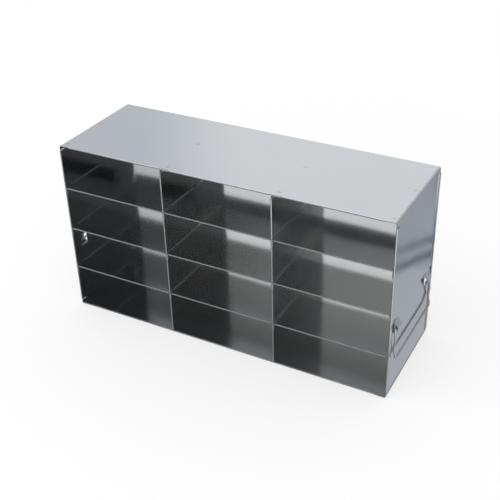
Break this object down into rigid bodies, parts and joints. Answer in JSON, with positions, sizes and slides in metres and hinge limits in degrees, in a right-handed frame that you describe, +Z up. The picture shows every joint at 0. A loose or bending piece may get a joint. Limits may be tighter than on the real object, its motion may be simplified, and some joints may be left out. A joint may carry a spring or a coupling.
{
  "type": "freezer storage rack",
  "caption": "Side-access rack of open cells folded from stainless sheet, with a bent-wire bail handle on each end panel.",
  "frame": {"origin": "centre of the footprint, on the surface that the rack stands on", "axes": "+X along the rack from its left end to its right end, +Y from its open front to its rear, +Z up"},
  "size_m": [0.4304, 0.139, 0.2258],
  "materials": {
    "sheet": "2B mill finish stainless sheet",
    "wire": "bright drawn stainless wire"
  },
  "bodies": {
    "rack": {"top_panel": "sheet", "bottom_panel": "sheet", "right_end_panel": "sheet", "left_end_panel": "sheet", "divider_1": "sheet", "divider_2": "sheet", "shelf_column_1_level_1": "sheet", "shelf_column_1_level_2": "sheet", "shelf_column_1_level_3": "sheet", "shelf_column_2_level_1": "sheet", "shelf_column_2_level_2": "sheet", "shelf_column_2_level_3": "sheet", "shelf_column_3_level_1": "sheet", "shelf_column_3_level_2": "sheet", "shelf_column_3_level_3": "sheet"},
    "right_bail": {"right_bail_handle": "wire"},
    "left_bail": {"left_bail_handle": "wire"}
  },
  "joints": [
    {"name": "right_bail_swing", "type": "hinge", "parent": "rack", "child": "right_bail", "pos_m": [0.21145, 0, 0.08685], "axis": [0, -1, 0], "range_deg": [0, 176]},
    {"name": "left_bail_swing", "type": "hinge", "parent": "rack", "child": "left_bail", "pos_m": [-0.21145, 0, 0.08685], "axis": [0, 1, 0], "range_deg": [0, 176]}
  ]
}
